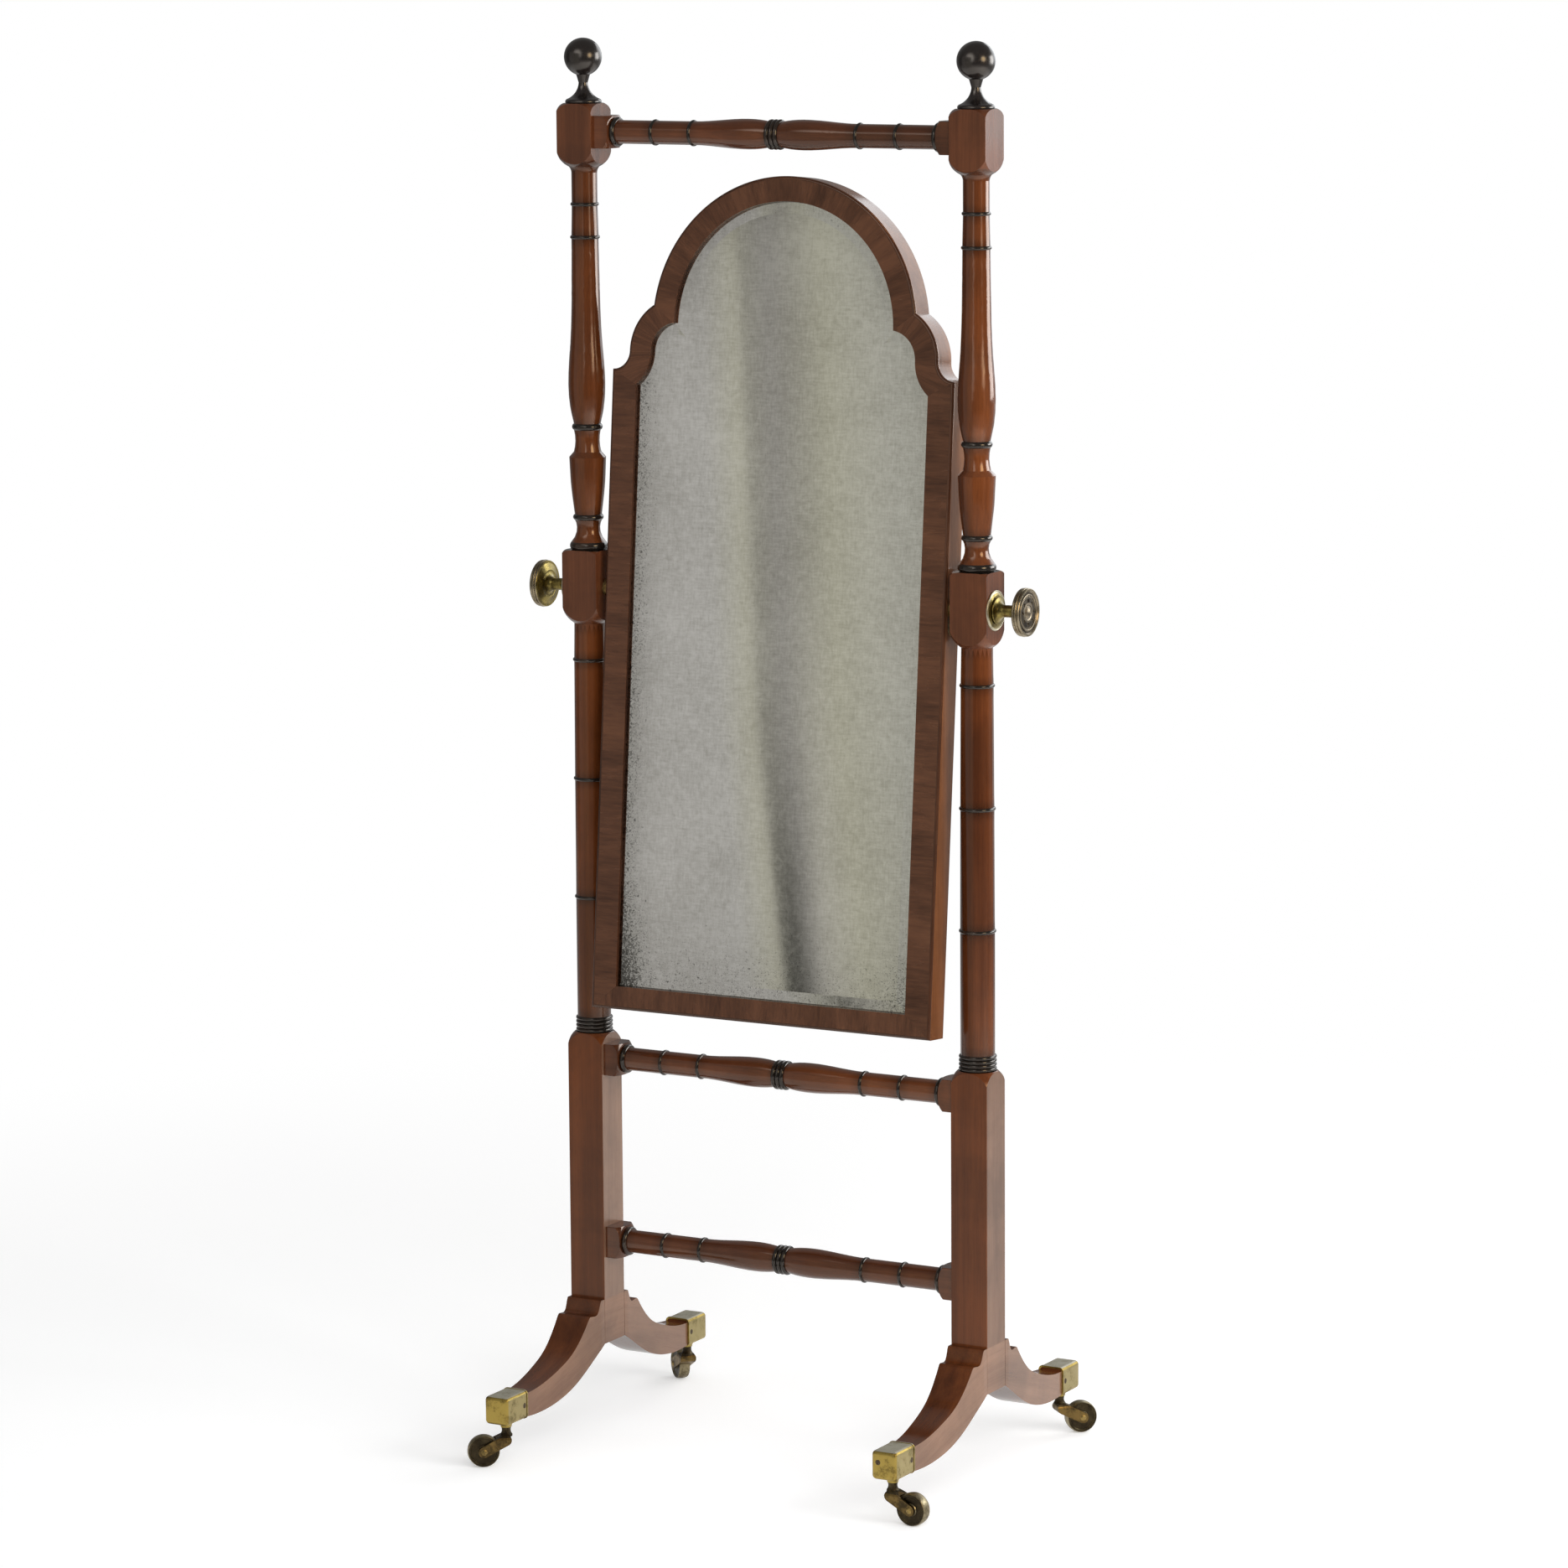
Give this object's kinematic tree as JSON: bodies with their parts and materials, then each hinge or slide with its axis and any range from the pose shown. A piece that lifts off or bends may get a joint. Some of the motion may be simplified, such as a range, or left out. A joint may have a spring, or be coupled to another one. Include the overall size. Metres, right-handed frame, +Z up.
{
  "type": "cheval floor mirror",
  "caption": "Floor-standing swing mirror: arched bevelled glass pivoting between turned uprights with ball finials, on sabre legs with brass castors.",
  "frame": {"origin": "on the floor, midway between the two uprights", "axes": "+X to the viewer's right along the pivot axis, -Y out of the front of the glass, +Z up"},
  "size_m": [0.625, 0.4783, 1.5999],
  "materials": {
    "mahogany": "french polished",
    "veneer": "crossbanded, french polished",
    "carcase": "polished edge",
    "ebonised": "ebonised, polished",
    "pine": "bare, aged",
    "brass": "patinated",
    "castor_wheel": "dark patina",
    "screw": "darkened",
    "mirror_glass": "bevelled, aged silvering"
  },
  "bodies": {
    "stand": {"left_upright": "mahogany", "left_finial": "ebonised", "left_foot_block": "mahogany", "left_backplate": "brass", "right_upright": "mahogany", "right_finial": "ebonised", "right_foot_block": "mahogany", "right_backplate": "brass", "top_stretcher": "mahogany", "middle_stretcher": "mahogany", "bottom_stretcher": "mahogany", "front_left_leg": "mahogany", "front_left_toe_socket": "brass", "front_right_leg": "mahogany", "front_right_toe_socket": "brass", "rear_left_leg": "mahogany", "rear_left_toe_socket": "brass", "rear_right_leg": "mahogany", "rear_right_toe_socket": "brass", "socket_screws": "screw"},
    "mirror": {"left_pivot_plate": "brass", "left_stile": "carcase", "left_ear": "carcase", "left_arch": "carcase", "left_stile_veneer": "veneer", "left_ear_veneer": "veneer", "right_pivot_plate": "brass", "right_stile": "carcase", "right_ear": "carcase", "right_arch": "carcase", "right_stile_veneer": "veneer", "right_ear_veneer": "veneer", "pivot_plate_screws": "screw", "backboard_screws": "screw", "bottom_rail": "carcase", "bottom_veneer": "veneer", "arch_veneer": "veneer", "glass": "mirror_glass", "glazing_blocks": "pine", "backboard": "pine"},
    "left_knob": {"left_knob": "brass"},
    "right_knob": {"right_knob": "brass"},
    "front_left_castor": {"front_left_castor_horn": "brass", "front_left_castor_axle": "brass"},
    "front_left_wheel": {"front_left_castor_wheel": "castor_wheel"},
    "front_right_castor": {"front_right_castor_horn": "brass", "front_right_castor_axle": "brass"},
    "front_right_wheel": {"front_right_castor_wheel": "castor_wheel"},
    "rear_left_castor": {"rear_left_castor_horn": "brass", "rear_left_castor_axle": "brass"},
    "rear_left_wheel": {"rear_left_castor_wheel": "castor_wheel"},
    "rear_right_castor": {"rear_right_castor_horn": "brass", "rear_right_castor_axle": "brass"},
    "rear_right_wheel": {"rear_right_castor_wheel": "castor_wheel"}
  },
  "joints": [
    {"name": "mirror_tilt", "type": "hinge", "parent": "stand", "child": "mirror", "pos_m": [0, 0, 0.98095], "axis": [1, 0, 0], "continuous": true},
    {"name": "left_knob_turn", "type": "hinge", "parent": "stand", "child": "left_knob", "pos_m": [-0.2475, 0, 0.98095], "axis": [-1, 0, 0], "range_deg": [-180, 180]},
    {"name": "right_knob_turn", "type": "hinge", "parent": "stand", "child": "right_knob", "pos_m": [0.2475, 0, 0.98095], "axis": [1, 0, 0], "range_deg": [-180, 180]},
    {"name": "front_left_swivel", "type": "hinge", "parent": "stand", "child": "front_left_castor", "pos_m": [-0.2475, -0.20555, 0.0455], "axis": [0, 0, 1], "continuous": true},
    {"name": "front_left_roll", "type": "hinge", "parent": "front_left_castor", "child": "front_left_wheel", "pos_m": [-0.26826, -0.2212, 0.0185], "axis": [-0.6018, 0.7986, 0], "continuous": true},
    {"name": "front_right_swivel", "type": "hinge", "parent": "stand", "child": "front_right_castor", "pos_m": [0.2475, -0.20555, 0.0455], "axis": [0, 0, 1], "continuous": true},
    {"name": "front_right_roll", "type": "hinge", "parent": "front_right_castor", "child": "front_right_wheel", "pos_m": [0.27344, -0.20736, 0.0185], "axis": [-0.0698, -0.9976, 0], "continuous": true},
    {"name": "rear_left_swivel", "type": "hinge", "parent": "stand", "child": "rear_left_castor", "pos_m": [-0.2475, 0.20555, 0.0455], "axis": [0, 0, 1], "continuous": true},
    {"name": "rear_left_roll", "type": "hinge", "parent": "rear_left_castor", "child": "rear_left_wheel", "pos_m": [-0.26682, 0.22295, 0.0185], "axis": [0.6691, 0.7431, 0], "continuous": true},
    {"name": "rear_right_swivel", "type": "hinge", "parent": "stand", "child": "rear_right_castor", "pos_m": [0.2475, 0.20555, 0.0455], "axis": [0, 0, 1], "continuous": true},
    {"name": "rear_right_roll", "type": "hinge", "parent": "rear_right_castor", "child": "rear_right_wheel", "pos_m": [0.26523, 0.22456, 0.0185], "axis": [0.7314, -0.682, 0], "continuous": true}
  ]
}
